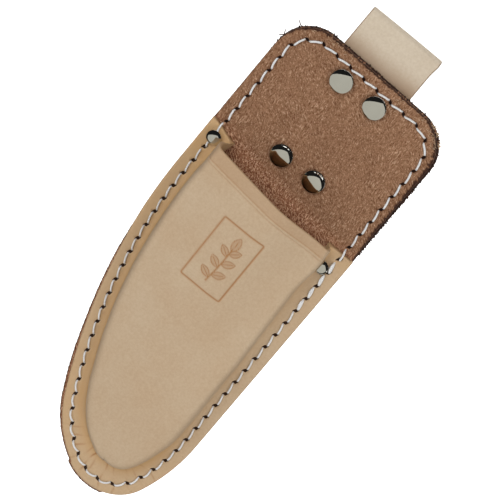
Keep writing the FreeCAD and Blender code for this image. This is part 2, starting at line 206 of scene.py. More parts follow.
# ---- seam places
def seam_holes():
    curve = panel_curve(SEAM_INSET)
    total = lengths_along(curve)[-1]
    count = round(total / STITCH_PITCH)
    places = (np.arange(count) + 0.5) / count
    holes = resample(curve, places)
    ahead = resample(curve, places + 0.0005) - resample(curve, places - 0.0005)
    return holes, unit(ahead)


HOLES, HOLE_AHEAD = seam_holes()
HOLE_ACROSS = np.column_stack([HOLE_AHEAD[:, 1], -HOLE_AHEAD[:, 0]])
FAR_FROM_SEAM = 9.0
SEAM_REACH = 4.0
SLIT_TILT = math.radians(45)


def seam_places(x, z, wanted):
    """Cosine and sine of the stitch phase, and the distance in from the seam."""
    curve = panel_curve(SEAM_INSET)
    tree = KDTree(len(curve))
    for number, (spot_x, spot_z) in enumerate(curve):
        tree.insert((spot_x, spot_z, 0), number)
    tree.balance()
    ahead = directions(curve)
    along = lengths_along(curve)
    turn = 2 * math.pi * len(HOLES) / along[-1]
    found = np.zeros(x.shape + (3,))
    found[..., 0] = -1
    found[..., 2] = FAR_FROM_SEAM
    for place in zip(*np.nonzero(wanted)):
        spot = (x[place], z[place], 0)
        _, number, gap = tree.find(spot)
        if gap > SEAM_REACH:
            continue
        dx, dz = spot[0] - curve[number][0], spot[1] - curve[number][1]
        way = ahead[number]
        run = along[number] + dx * way[0] + dz * way[1]
        phase = run * turn - math.pi
        found[place] = (math.cos(phase), math.sin(phase), dx * way[1] - dz * way[0])
    return found


def slit_mask(seam, half_length=1.35, half_width=0.6):
    """1 inside the oblique awl slits, fading to 0 around them."""
    run = np.arctan2(seam[..., 1], seam[..., 0]) / (2 * math.pi) * STITCH_PITCH
    side = seam[..., 2]
    far = run * math.cos(SLIT_TILT) + side * math.sin(SLIT_TILT)
    wide = -run * math.sin(SLIT_TILT) + side * math.cos(SLIT_TILT)
    return np.exp(-(far / half_length) ** 4 - (wide / half_width) ** 2)


def wander(x, z, size, seed):
    """Smooth noise of about unit range, for surfaces that are not quite flat."""
    flat = [noise.noise(Vector((a / size, b / size, seed))) for a, b in zip(x.ravel(), z.ravel())]
    return np.array(flat).reshape(x.shape)


# ---- mesh making
def make_piece(name, points, faces, node, layers=()):
    """A mesh object from (x, z, rise) points in millimetres."""
    points = np.asarray(points, float)
    metres = np.column_stack([points[:, 0], -(points[:, 2] + FRONT), points[:, 1]]) * MM
    mesh = bpy.data.meshes.new(name)
    mesh.from_pydata(metres.tolist(), [], faces)
    piece = bpy.data.objects.new(name, mesh)
    bpy.context.scene.collection.objects.link(piece)
    for layer_name, values in layers:
        layer = mesh.color_attributes.new(layer_name, "FLOAT_COLOR", "POINT")
        values = np.column_stack([values, np.ones(len(points))]).astype(np.float32)
        layer.data.foreach_set("color", values.ravel())
    close_mesh(mesh)
    mesh.shade_smooth()
    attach(piece, "root")
    if node:
        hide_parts(node)
    return piece


def close_mesh(mesh, reach=0.002):
    """Weld shared rows and make all faces look outward."""
    work = bmesh.new()
    work.from_mesh(mesh)
    bmesh.ops.remove_doubles(work, verts=work.verts, dist=reach * MM)
    bmesh.ops.dissolve_degenerate(work, edges=work.edges, dist=0.0005 * MM)
    bmesh.ops.recalc_face_normals(work, faces=work.faces)
    work.to_mesh(mesh)
    work.free()
    mesh.update()


class Builder:
    """Collects points, their paint and faces of one mesh."""

    def __init__(self):
        self.points = []
        self.paint = []
        self.seam = []
        self.faces = []

    def grid(self, points, paint=None, seam=None, closed_columns=False):
        """Add rows x columns of points and return their index grid."""
        rows, columns = points.shape[:2]
        base = sum(len(block) for block in self.points)
        self.points.append(points.reshape(-1, 3))
        if paint is None:
            paint = np.zeros((rows, columns, 3))
        if seam is None:
            seam = np.full((rows, columns, 3), FAR_FROM_SEAM)
        self.paint.append(paint.reshape(-1, 3))
        self.seam.append(seam.reshape(-1, 3))
        index = base + np.arange(rows * columns).reshape(rows, columns)
        wide = index
        if closed_columns:
            wide = np.column_stack([wide, wide[:, :1]])
        corners = np.stack([wide[:-1, :-1], wide[:-1, 1:], wide[1:, 1:], wide[1:, :-1]], axis=-1)
        self.faces += corners.reshape(-1, 4).tolist()
        return index

    def strip(self, first, second):
        """Triangles between two rows of indices of different lengths."""
        points = np.vstack(self.points)
        a, b = 0, 0
        share_a = path_shares(points[first])
        share_b = path_shares(points[second])
        while a < len(first) - 1 or b < len(second) - 1:
            step_a = b == len(second) - 1
            if not step_a and a < len(first) - 1:
                step_a = share_a[a + 1] <= share_b[b + 1]
            if step_a:
                self.faces.append([int(first[a]), int(first[a + 1]), int(second[b])])
                a += 1
            else:
                self.faces.append([int(first[a]), int(second[b + 1]), int(second[b])])
                b += 1

    def close_ends(self, index):
        """A face over the first and the last row of a closed grid."""
        for end in (index[0], index[-1][::-1]):
            self.faces.append([int(value) for value in end])

    def make(self, name, node):
        layers = [("paint", np.vstack(self.paint)), ("seam", np.vstack(self.seam))]
        return make_piece(name, np.vstack(self.points), self.faces, node, layers)


def path_shares(points):
    along = lengths_along(points)
    return along / max(along[-1], 1e-9)


def grid_normals(points):
    """Unit normals of a grid of points, turned to the front."""
    rows = np.gradient(points, axis=0)
    columns = np.gradient(points, axis=1)
    normals = unit(np.cross(rows, columns))
    return normals if normals[..., 2].mean() > 0 else -normals


# ---- the pocket
# Each half is a row of ribs, which run from the cut edge over the flange and up the
# moulded wall to the spine, where the two halves meet.
RIBS = 560
SPINE_TOP, SPINE_END = 1.5, np.array([12.8, -183.0])
# shares of the way from the mouth to the toe, and there: how wide the moulded shoulder
# is, and how far the wall's foot is pulled in from the CAD's
SHOULDER_WIDTHS = {"left": ([0, 0.12, 0.4, 0.7, 0.88, 1], [3.2, 3.6, 5.0, 6.4, 6.4, 6.0]),
                   "right": ([0, 0.12, 0.5, 0.75, 0.9, 1], [3.0, 3.2, 4.0, 4.6, 5.4, 6.0])}
PULLED_IN = {"left": ([0, 0.5, 0.75, 1], [0, -0.5, 0.0, 3.0]),
             "right": ([0, 0.2, 0.44, 0.75, 0.88, 1], [0, -0.7, -1.4, -0.8, 0.5, 3.4])}
# the left wall leans out as far as this x, near the mouth
LEFT_SHOULDER = -31.8
# x of the steps in the plies' overhang round the toe
HEEL_STEP, TOE_STEP = 4.7, 24.0
# the flat top: its rise at a height near the toe, and how much fuller it is at the spine
TOE_RISE, TOE_HEIGHT, CROWN = 9.4, -200.0, 0.5
# front and back of the leather: the hollow at the wall's foot, and the columns on the
# flange, in the hollow, on the wall and on the flat top
HOLLOWS = (2.4, 1.6)
COLUMNS = ((30, 8, 18, 80), (6, 5, 8, 12))
# the cut edge, as (distance in, rise), outside and inside
EDGE_ROUND = 0.8
EDGE_PROFILES = ([(0.0, 0.02), (0.0, 1.2), (0.0, 2.1), (0.12, 2.55), (0.4, 2.88),
                  (EDGE_ROUND, LEATHER)], [(0.0, 0.0), (EDGE_ROUND, 0.0)])


def halves(curve):
    """Right and left halves of a U-shaped curve, each from the mouth to its lowest point."""
    lowest = int(np.argmin(curve[:, 1]))
    return {"right": curve[:lowest + 1], "left": curve[lowest:][::-1]}


def rib_shares():
    """Shares along a half, closer together at the mouth's rounded rim."""
    rim = np.array([0, 0.0008, 0.002, 0.0036])
    return np.concatenate([rim, np.linspace(0.0055, 1, RIBS - len(rim))])


def ray_hits(starts, directions, curve):
    """Where rays from the starts first cross the curve."""
    hits = []
    a, b = curve[:-1], curve[1:]
    edge = b - a
    for start, way in zip(starts, directions):
        cross = way[0] * edge[:, 1] - way[1] * edge[:, 0]
        cross = np.where(np.abs(cross) < 1e-9, 1e-9, cross)
        gap = a - start
        reach = (gap[:, 0] * edge[:, 1] - gap[:, 1] * edge[:, 0]) / cross
        share = (gap[:, 0] * way[1] - gap[:, 1] * way[0]) / cross
        good = (reach > 0) & (share >= -0.001) & (share <= 1.001)
        hits.append(start + way * reach[good].min())
    return np.array(hits)


def edge_setback(edge):
    """How far the pocket's cut edge lies inside the panel's, low on the left."""
    return 0.55 * smooth_step(-90, -125, edge[:, 1]) * (edge[:, 0] < HEEL_STEP)


def rib_frame(side):
    """Edge point, wall foot and spine point of every rib on one side."""
    shares = rib_shares()
    foot = resample(halves(clipped(dish_curve()))[side], shares)
    ahead = directions(foot)
    sign = 1 if side == "right" else -1
    normal = np.column_stack([-ahead[:, 1], ahead[:, 0]]) * sign
    along_mouth = heading_vector(math.degrees(math.atan(-MOUTH_SLOPE))) * sign
    blend = smooth_step(0, 0.12, shares)[:, None]
    way = along_mouth * (1 - blend) + normal * blend
    way[-1] = (0, -1)
    way = unit(way)
    edge = ray_hits(foot, way, panel_curve())
    edge = edge - way * edge_setback(edge)[:, None]
    travel = (1.3 * shares - 0.3 * shares ** 3.8)[:, None]
    spine_top = np.array([SPINE_TOP, mouth_line(SPINE_TOP)])
    spine = spine_top + (SPINE_END - spine_top) * travel
    foot = foot - way * np.interp(shares, *PULLED_IN[side])[:, None]
    return shares, edge, foot, spine


def wall_lean(side, foot):
    """How far the soft wall bulges out over the flange near the mouth."""
    if side == "left":
        return np.clip(foot[:, 0] - LEFT_SHOULDER, 0, 6) * smooth_step(32, 22, below_mouth(foot))
    return 2.1 * smooth_step(26, 6, below_mouth(foot))


def plateau_rise(points):
    """Height of the flat top, lower at the toe and at the mouth's right end."""
    x, z = points[..., 0], points[..., 1]
    mouth_rise = POCKET_RISE - CROWN
    share = (z - MOUTH_HEIGHT) / (TOE_HEIGHT - MOUTH_HEIGHT)
    fall = 8.3 * smooth_step(2, 31, x) * smooth_step(-165, -60, z)
    return mouth_rise + (TOE_RISE - mouth_rise) * share - fall


def bezier(corners, part):
    """Point of a curve with three or four control points, each an array."""
    rest = 1 - part
    weights = [rest ** 2, 2 * part * rest, part ** 2]
    if len(corners) == 4:
        weights = [rest ** 3, 3 * part * rest ** 2, 3 * part ** 2 * rest, part ** 3]
    return sum(weight * corner for weight, corner in zip(weights, corners))


def raised(places, rise):
    """Points (x, z, rise) over places in the panel's plane."""
    return np.column_stack([places, np.zeros(len(places)) + rise])


def rib_points(side, inner):
    """Front grid of one side, or the inner grid behind it.

    Columns run from the sewn edge over the flange, up the wall and to the spine. Also
    gives the distance of every point from the wall's foot, measured along its column.
    """
    shares, edge, foot, spine = rib_frame(side)
    width = np.interp(shares, *SHOULDER_WIDTHS[side])
    lean = wall_lean(side, foot)
    thickness = inner * LEATHER * np.interp(shares, [0, 0.05, 0.12], [0.5, 0.8, 1.0])
    hollow = HOLLOWS[inner]
    level = 0.0 if inner else LEATHER
    flange_columns, hollow_columns, wall_columns, top_columns = COLUMNS[inner]
    to_spine = spine - foot
    reach = np.linalg.norm(to_spine, axis=1)
    inward = to_spine / reach[:, None]
    columns = []

    outward = unit(foot - edge)
    flange = np.linalg.norm(foot - edge, axis=1)
    for inset, rise in EDGE_PROFILES[inner]:
        columns.append(raised(edge + outward * inset, rise))
    for part in np.linspace(0, 1, flange_columns + 1)[1:]:
        inset = EDGE_ROUND + (flange - hollow - EDGE_ROUND) * part
        place = edge + outward * inset[:, None] + inward * (thickness * part)[:, None]
        columns.append(raised(place, level))

    width = np.maximum(width - 0.6 * thickness, 1.6)
    covered = thickness + width - lean
    height = plateau_rise(foot + inward * covered[:, None]) - level - thickness
    flat = np.zeros_like(height)

    def corner(run, lift):
        return np.column_stack([run + flat, lift + flat])

    bend = [corner(-hollow, 0), corner(0, 0), corner(0.2 * hollow, hollow)]
    face = [corner(0.2 * hollow, hollow), corner(0.2 * hollow + 0.08 * width, 0.72 * height),
            corner(0.3 * width, height), corner(width, height)]
    curves = [(bend, np.linspace(0, 1, hollow_columns + 1)[1:]),
              (face, np.linspace(0, 1, wall_columns + 1)[1:])]
    foot_column = len(columns)
    for corners, parts in curves:
        for part in parts:
            run, lift = bezier(corners, part).T
            push = lean * smooth_step(0.06, 0.62, lift / height)
            place = foot + inward * (thickness + np.maximum(run, 0) - push)[:, None]
            place = place + outward * np.minimum(run, 0)[:, None]
            columns.append(raised(place, level + lift))
    for part in np.linspace(0, 1, top_columns + 1)[1:]:
        distance = covered + (reach - covered) * part
        place = foot + inward * distance[:, None]
        crown = CROWN * math.sin(part * math.pi / 2) * (1 - shares ** 6)
        columns.append(raised(place, plateau_rise(place) + crown - thickness))
    points = np.stack(columns, axis=1)
    points = soften(points, 2 if inner else 4, foot_column - 2,
                    foot_column + hollow_columns + wall_columns + 4)
    along = np.array([lengths_along(rib) for rib in points])
    foot_index = foot_column + hollow_columns // 2
    return points, along - along[:, foot_index:foot_index + 1]


def soften(points, times, first, last):
    """Relax the wall's foot and shoulder along the columns."""
    for _ in range(times):
        middle = points[:, first:last]
        around = (points[:, first - 1:last - 1] + points[:, first + 1:last + 1]) / 2
        points[:, first:last] = middle + (around - middle) * 0.5
    return points


# the sprig pressed into the leather inside a plain frame
STAMP_LOW = np.array([-10.2, -100.7])
STAMP_HIGH = np.array([9.8, -68.7])
# each leaf's place on the stem, heading, length and half width
LEAVES = [(0.12, 152, 6.0, 1.5), (0.22, 30, 6.3, 1.6), (0.46, 148, 6.2, 1.6),
          (0.58, 34, 6.2, 1.6), (0.82, 143, 5.6, 1.5), (0.9, 40, 5.6, 1.5), (1.0, 88, 7.2, 1.8)]


def frame_distance(x, z):
    """Distance to the stamped frame's line, a rectangle with small round corners."""
    centre = (STAMP_LOW + STAMP_HIGH) / 2
    corner = 0.6
    half = (STAMP_HIGH - STAMP_LOW) / 2 - corner
    dx, dz = np.abs(x - centre[0]) - half[0], np.abs(z - centre[1]) - half[1]
    outside = np.hypot(np.maximum(dx, 0), np.maximum(dz, 0))
    inside = np.minimum(np.maximum(dx, dz), 0)
    return np.abs(outside + inside - corner)


def leaf_mask(x, z, root, heading, length, width):
    """Soft mask of one pointed leaf, and of its outline and vein."""
    way = heading_vector(heading)
    dx, dz = x - root[0], z - root[1]
    run = (dx * way[0] + dz * way[1]) / length
    side = np.abs(-dx * way[1] + dz * way[0])
    inside = (run > 0) & (run < 1)
    half = width * np.sin(np.pi * np.clip(run, 0, 1)) ** 0.8
    body = smooth_step(0.15, -0.15, side - half) * inside
    rim = bell(side - half, 0.22) * inside
    vein = bell(side, 0.16) * inside * (run < 0.85)
    return body, np.maximum(rim, vein)


def stamp_masks(x, z):
    """Pressed area and burnt lines of the stamp."""
    lines = bell(frame_distance(x, z), 0.38)
    pressed = np.zeros_like(x)
    centre_x = (STAMP_LOW[0] + STAMP_HIGH[0]) / 2
    foot, top = STAMP_LOW[1] + 4.0, STAMP_HIGH[1] - 10.5

    def stem(height):
        return centre_x + 0.9 * np.sin((height - foot) / 9.0)

    on_stem = (z > foot) & (z < top + 0.6)
    lines = np.maximum(lines, bell(x - stem(z), 0.36) * on_stem)
    for share, heading, length, width in LEAVES:
        root = foot + (top - foot) * share
        body, rim = leaf_mask(x, z, (stem(root), root), heading, length, width)
        pressed = np.maximum(pressed, body)
        lines = np.maximum(lines, 0.8 * rim)
    return pressed, lines


# wrinkles where the wet leather was gathered: heading from the toe's centre, strength
CREASES = [(250, 0.5), (238, 0.7), (262, 1.0), (268, 0.5), (287, 0.8), (225, 0.6), (301, 0.5),
           (211, 0.5), (318, 0.35), (331, 0.4), (346, 0.5)]


def crease_mask(x, z, rise):
    """Wrinkles across the flange round the toe."""
    mask = np.zeros_like(x)
    dx, dz = x - SPINE_END[0], z - SPINE_END[1]
    heading = np.degrees(np.arctan2(dz, dx)) % 360
    distance = np.hypot(dx, dz)
    for number, (place, weight) in enumerate(CREASES):
        bent = place + 1.6 * np.sin(distance / 2.3 + number * 1.7)
        gap = np.radians(heading - bent) * distance
        patchy = 0.55 + 0.45 * np.sin(distance * (0.55 + 0.13 * (number % 3)) + number)
        mask = np.maximum(mask, weight * patchy * bell(gap, 0.36))
    return mask * smooth_step(7.0, 4.0, rise) * smooth_step(-150, -165, z)


def rivet_distance(x, z, names):
    return np.min([np.hypot(x - RIVETS[name][0], z - RIVETS[name][1]) for name in names], axis=0)


def rivet_dent(x, z, names, radius):
    return smooth_step(radius + 1.4, radius - 0.4, rivet_distance(x, z, names))


# the mouth's rounded rim, and the depths of the two lines pressed below it
RIM_RADIUS = 0.5
RIM_LINES = (6.2, 7.5)


def rim_drop(depth):
    """How far the surface falls away at the mouth's rounded rim."""
    inside = np.maximum(RIM_RADIUS ** 2 - (RIM_RADIUS - depth) ** 2, 0)
    return np.where(depth < RIM_RADIUS, RIM_RADIUS - np.sqrt(inside), 0)


def flange_tone(x, z):
    """How brown the flange is: most round the toe, least along the right side."""
    left = smooth_step(15, -25, x)
    toe = smooth_step(-150, -190, z)
    tab = smooth_step(-66, -58, z)
    return np.clip(0.2 + 0.52 * left + 0.45 * toe + 0.25 * tab, 0, 1)


def finish_front(side):
    """Displace the front grid of one side and paint it."""
    points, gap = rib_points(side, inner=False)
    normals = grid_normals(points)
    x, z, rise = points[..., 0], points[..., 1], points[..., 2]
    depth = below_mouth(points[..., :2])
    on_flange = smooth_step(1.0, -0.5, gap)
    seam = seam_places(x, z, gap < 0)
    clear = smooth_step(2.4, 3.2, rivet_distance(x, z, MOUTH_RIVETS)) * smooth_step(0.5, 1.5, depth)
    seam[..., 2] = np.where(clear < 0.5, FAR_FROM_SEAM, seam[..., 2])
    slits = slit_mask(seam) * on_flange
    creases = crease_mask(x, z, rise) * smooth_step(2.0, 0.0, gap)
    dents = rivet_dent(x, z, MOUTH_RIVETS, SMALL_HEAD) * on_flange
    on_top = smooth_step(5, 9, gap)
    pressed, lines = stamp_masks(x, z)
    pressed, lines = pressed * on_top, lines * on_top
    line_depth = depth + 0.03 * (x + 30)
    upper, lower = RIM_LINES
    grooves = (bell(line_depth - upper, 0.26) + 0.6 * bell(line_depth - lower, 0.28)) * on_top
    ridge = bell(line_depth - (upper + lower) / 2, 0.35) * on_top
    move = -0.9 * slits - 0.14 * bell(seam[..., 2], 0.7) - 0.2 * creases - 0.3 * dents
    move += -0.14 * pressed - 0.22 * lines - 0.2 * grooves + 0.1 * ridge
    move += 0.14 * wander(x, z, 9.0, 3.1) + 0.3 * on_top * wander(x, z, 34.0, 8.4)
    move -= rim_drop(depth)
    move[:, :4] = 0
    lifted = points + normals * move[..., None]
    lifted[..., 1] += mouth_lift(x, depth)

    tone = flange_tone(x, z)
    # a band along the wall's foot is painted browner: burnish, and painted shade in the hollow
    # where the flange meets the wall
    foot_burnish_and_shade = bell(gap, np.where(gap > 0, 1.3, 2.3))
    inner_half = np.maximum(smooth_step(-6.5, -2.0, gap), smooth_step(-120, -75, z))
    outer = np.where(gap < 0, 0.6 + 0.4 * inner_half, bell(gap, 1.6))
    burnish_and_foot_shade = np.clip(tone * outer + 0.85 * tone * foot_burnish_and_shade, 0, 1)
    strip = 0.26 * smooth_step(upper + 0.2, upper - 0.4, line_depth) * on_top
    burnt = np.clip(lines + 0.3 * pressed + 0.45 * grooves + creases + strip, 0, 1)
    cut = np.zeros_like(x)
    cut[:, :4] = 0.5
    cut = np.maximum(cut, 0.5 * smooth_step(0.5, 0.1, depth))
    paint = np.stack([burnish_and_foot_shade, burnt, cut], axis=-1)
    return lifted, paint, seam


def make_pocket():
    """The moulded front: flange, wall, rounded shoulder, flat top and open mouth."""
    shell = Builder()
    ends = {}
    for side in ("left", "right"):
        front, paint, seam = finish_front(side)
        back, _ = rib_points(side, inner=True)
        depth = below_mouth(back[..., :2])
        back[..., 2] += np.where(back[..., 2] > 5, rim_drop(depth), 0)
        back[..., 1] += mouth_lift(back[..., 0], depth)
        inside = np.zeros(back.shape)
        inside[..., 0] = 0.8
        inside[..., 2] = 0.3
        front_index = shell.grid(front, paint, seam)
        back_index = shell.grid(back, inside)
        shell.strip(front_index[:, 0], back_index[:, 0])
        ends[side] = (front_index, back_index)
    rims = [np.concatenate([left[0], right[0][::-1]])
            for left, right in zip(ends["left"], ends["right"])]
    shell.strip(*rims)
    return shell.make("moulded_pocket", "front_pocket")


# ---- the two plies
def ply_setback(curve, right, top):
    """How much further in the front ply's edge lies on the upper right and top."""
    x, z = curve[:, 0], curve[:, 1]
    on_right = smooth_step(20, 40, x) * smooth_step(-64, -40, z)
    on_top = smooth_step(-8, 6, z)
    return np.maximum(right * on_right, top * on_top)


def ply_overhang(curve):
    """How far the plies stick out past the nominal outline, low on the left and at the toe."""
    x, z = curve[:, 0], curve[:, 1]
    left = 0.75 * smooth_step(-90, -125, z) + 0.65 * smooth_step(-145, -175, z)
    left = left * smooth_step(HEEL_STEP + 0.5, HEEL_STEP - 0.5, x)
    toe = 2.3 * smooth_step(HEEL_STEP - 0.5, HEEL_STEP + 0.5, x) * smooth_step(-185, -190, z)
    return left + toe * smooth_step(TOE_STEP + 0.5, TOE_STEP - 0.5, x)


# distances in from a ply's edge, closest at the edge and at the seam, and then shares
# of the way to its spine
INSETS = [0, 0.2, 0.5, 0.9, 1.4, 2.0, 2.6, 3.2, 3.8, 4.3, 4.8, 5.2, 5.6, 6.1, 6.7, 7.5, 8.5,
          10, 12, 14.5]
INNER_SHARES = [0.12, 0.27, 0.45, 0.65, 0.85, 1.0]
PLY_SPINE_TOP = (0.7, -12.0)
# size of the edge's large and fine raggedness, and the fall of a face's first rows
ROUGH_SIZE, FINE_SIZE = 1 / 0.9, 1 / 3.1
EDGE_FALL = (0.42, 0.16, 0.04)


def ply_rows(outline, inward, inner, shift):
    """Rows of places from a ply's edge to its spine."""
    rows = []
    for inset in INSETS:
        reach = inset + shift * max(0.0, 1 - inset / 4)
        rows.append(outline + inward * reach[:, None])
    spine_x, spine_z = zip(SPINE_END, PLY_SPINE_TOP)
    spine = np.column_stack([np.interp(inner[:, 1], spine_z, spine_x),
                             np.clip(inner[:, 1], *spine_z)])
    last = rows[-1]
    rows += [last + (spine - last) * share for share in INNER_SHARES]
    return np.stack(rows)


def make_ply(name, node, rises, setback, ragged, decorate, edge_dark, columns=900):
    """A flat ply with a rounded, slightly ragged edge; rises are its back and front."""
    back_rise, front_rise = rises
    shares = np.arange(columns) / columns
    outline = resample(panel_curve(), shares)
    inner = resample(panel_curve(INSETS[-1]), shares)
    inward = unit(inner - outline)
    roughness = wander(*outline.T, ROUGH_SIZE, 4.0)
    fine = wander(*outline.T, FINE_SIZE, 9.0)
    shift = (ply_setback(outline, *setback) + ragged * (roughness + 0.6 * fine) + 0.05
             - ply_overhang(outline))
    flat = ply_rows(outline, inward, inner, shift)
    x, z = flat[..., 0], flat[..., 1]
    rounding = np.zeros(len(flat))
    rounding[:len(EDGE_FALL)] = EDGE_FALL
    seam = seam_places(x, z, np.ones(x.shape, bool))
    front_move, front_paint = decorate(x, z, 1, seam)
    back_move, back_paint = decorate(x, z, -1, seam)
    front = np.stack([x, z, front_rise - rounding[:, None] + front_move], axis=-1)
    back = np.stack([x, z, back_rise + rounding[:, None] - back_move], axis=-1)
    middle = []
    for level in (0.75, 0.5, 0.25):
        wave = ragged * 0.5 * wander(*outline.T, 1.0, 20 * level)
        ring = flat[0] + inward * (wave - 0.05)[:, None]
        rise = back[0, :, 2] + (front[0, :, 2] - back[0, :, 2]) * level
        middle.append(np.column_stack([ring, rise]))
    middle = np.stack(middle)
    ply = Builder()
    edge_paint = np.zeros(middle.shape)
    edge_paint[..., 2] = edge_dark
    frayed = 0.45 + np.maximum(1.0 + 2.2 * fine, 0) * ply_setback(outline, 1.0, 0.45)
    worn = 0.95 * smooth_step(1.3, 0.7, np.array(INSETS)[:, None] / frayed)
    near_edge = front_paint[:len(INSETS), :, 2]
    near_edge[:] = np.maximum(near_edge, worn)
    back_paint[:2, :, 2] = 1
    far = np.full(middle.shape, FAR_FROM_SEAM)
    bands = ((front[::-1], middle, back), (front_paint[::-1], edge_paint, back_paint),
             (seam[::-1], far, seam))
    ply.grid(*[np.concatenate(band) for band in bands], closed_columns=True)
    return ply.make(name, node)


def decorate_suede(x, z, face, seam):
    """Holes, the seam's dent and the soft unevenness of the suede ply."""
    paint = np.zeros(x.shape + (3,))
    if face < 0:
        return np.zeros_like(x), paint
    above = -below_mouth(np.stack([x, z], axis=-1))
    bare = smooth_step(-1.0, 1.0, above)
    move = (-0.9 * slit_mask(seam) - 0.2 * bell(seam[..., 2], 0.8)) * bare
    move += 0.12 * wander(x, z, 7.0, 1.3) * bare - 0.3 * rivet_dent(x, z, PANEL_RIVETS, LARGE_HEAD)
    move *= smooth_step(-2.0, 1.0, above)
    # channel 0 marks the suede just above the mouth, where light is painted in against the pocket's
    # shade, with a redder nap
    paint[..., 0] = smooth_step(6.0, -2.0, above)
    return move, paint


def decorate_backing(x, z, face, seam):
    """Holes and the seam's dent on the dark grain side; its front face is raw."""
    paint = np.zeros(x.shape + (3,))
    if face > 0:
        paint[..., 2] = 0.7
        return np.zeros_like(x), paint
    move = -0.8 * slit_mask(seam) - 0.18 * bell(seam[..., 2], 0.8)
    return move + 0.1 * wander(x, z, 12.0, 6.6), paint


# ---- loose fibres
def make_fibres():
    """Stray fibres along the cut edge and flakes on the suede near the top."""
    dice = np.random.default_rng(7)
    outline = panel_curve()
    ahead = directions(outline)
    inward = np.column_stack([ahead[:, 1], -ahead[:, 0]])
    x, z = outline[:, 0], outline[:, 1]
    top = np.nonzero(z > 6)[0]
    right = np.nonzero((x > 40) & (z > -54))[0]
    corner = np.nonzero((x > 30) & (z > 4))[0]
    left = np.nonzero((x < -30) & (z > -8))[0]
    fibres = Builder()

    def fibre(root, way, rise, length, radius, paint):
        parts = np.linspace(0, 1, 6)
        bend = dice.uniform(-0.35, 0.35) * length
        sideways = np.array([-way[1], way[0]])
        flat = root + np.outer(parts * length, way) + np.outer(parts ** 2 * bend, sideways)
        lift = rise + dice.uniform(-0.2, 0.3) * length * parts
        tube(fibres, np.column_stack([flat, lift]), radius, sides=5, paint=paint)

    def sprout(places, count, lengths, rises, paint):
        for place in dice.choice(places, count):
            root = outline[place] + inward[place] * dice.uniform(0.2, 0.5)
            turn = dice.uniform(-1.1, 1.1)
            way = -inward[place] * math.cos(turn) + ahead[place] * math.sin(turn)
            fibre(root, way, dice.uniform(*rises), dice.uniform(*lengths),
                  dice.uniform(0.14, 0.32), paint)

    dark, brown, pale = (0, 0, 0.95), (0.6, 0, 0.3), (0, 0.9, 0)
    tufts = [
        # where, how many, lengths, rises, paint
        (top, 110, (0.4, 0.9), (-3.6, -0.6), dark), (right, 90, (0.4, 0.8), (-3.4, -0.6), dark),
        (left, 20, (0.4, 0.9), (-3.0, -0.6), dark), (left, 3, (2.2, 3.2), (-1.6, -0.6), dark),
        (top, 60, (0.4, 0.9), (-1.6, -0.2), brown), (corner, 26, (0.5, 1.2), (-2.4, -0.4), pale),
    ]
    for tuft in tufts:
        sprout(*tuft)
    for place in dice.choice(np.concatenate([top, corner, corner]), 110):
        root = outline[place] + inward[place] * dice.uniform(1.0, 3.2)
        turn = dice.uniform(-0.5, 0.5)
        way = ahead[place] * math.cos(turn) + inward[place] * math.sin(turn)
        fibre(root, way, dice.uniform(-0.02, 0.08), dice.uniform(0.4, 1.4),
              dice.uniform(0.06, 0.12), (0, dice.uniform(0.3, 0.9), 0))
    return fibres.make("edge_fibres", None)


# ---- belt loop
# the fold's section is a superellipse that slopes back; the lift makes up for the slope
FOLD_SQUARENESS, FOLD_SLOPE, FOLD_LIFT = 0.36, 0.5, 2.0
# the front leg's lower end, and the double bend at which the rear leg meets the panel
STRAP_START, TUCK_HEIGHT, TUCK_RADIUS = -7.0, -17.0, 9.0
# half width, rounding of the edges, and length of the narrowed ends
STRAP_HALF, STRAP_CORNER, STRAP_TAPER = 17.5, 0.7, 5.0


def strap_line():
    """The strap's middle line as (y, z): front leg, fold, rear leg and double bend."""
    half = LEATHER / 2
    fold_outer = (LOOP_HIGH[1] - LOOP_LOW[1]) / 2
    fold = fold_outer - half
    fold_z = LOOP_HIGH[2] - fold_outer + FOLD_LIFT
    front_leg, rear_leg = LOOP_LOW[1] + half, LOOP_HIGH[1] - half
    turn = math.acos(1 - fold / TUCK_RADIUS)
    points = [(front_leg, z) for z in np.linspace(STRAP_START, fold_z, 40)]
    for angle in np.linspace(0, math.pi, 60)[1:]:
        cosine, sine = math.cos(angle), math.sin(angle)
        back = fold * (1 - math.copysign(abs(cosine) ** FOLD_SQUARENESS, cosine))
        rise = fold * sine ** FOLD_SQUARENESS - FOLD_SLOPE * back
        points.append((front_leg + back, fold_z + rise))
    points += [(rear_leg, z) for z in np.linspace(points[-1][1], TUCK_HEIGHT, 40)[1:]]
    bend = [(TUCK_RADIUS * (math.cos(angle) - 1), -TUCK_RADIUS * math.sin(angle))
            for angle in np.linspace(0, turn, 16)]
    points += [(rear_leg + y, TUCK_HEIGHT + z) for y, z in bend[1:]]
    last = [points[-1][axis] + bend[-1][axis] for axis in (0, 1)]
    points += [(last[0] - y, last[1] - z) for y, z in bend[-2::-1]]
    points += [(points[-1][0], z) for z in np.linspace(points[-1][1], LOOP_LOW[2], 24)[1:]]
    return np.array(points)


def strap_section():
    """The strap's section with rounded edges, as (across, depth)."""
    half, flat = LEATHER / 2, STRAP_HALF - STRAP_CORNER
    section = []
    for edge in (1, -1):
        for angle in np.linspace(0, math.pi, 11):
            cosine = math.cos(angle)
            depth = math.copysign(half - STRAP_CORNER * (1 - abs(cosine)), cosine)
            section.append((edge * (flat + STRAP_CORNER * math.sin(angle)), edge * depth))
        section += [(edge * across, -edge * half) for across in np.linspace(flat, -flat, 24)[1:-1]]
    return np.array(section)


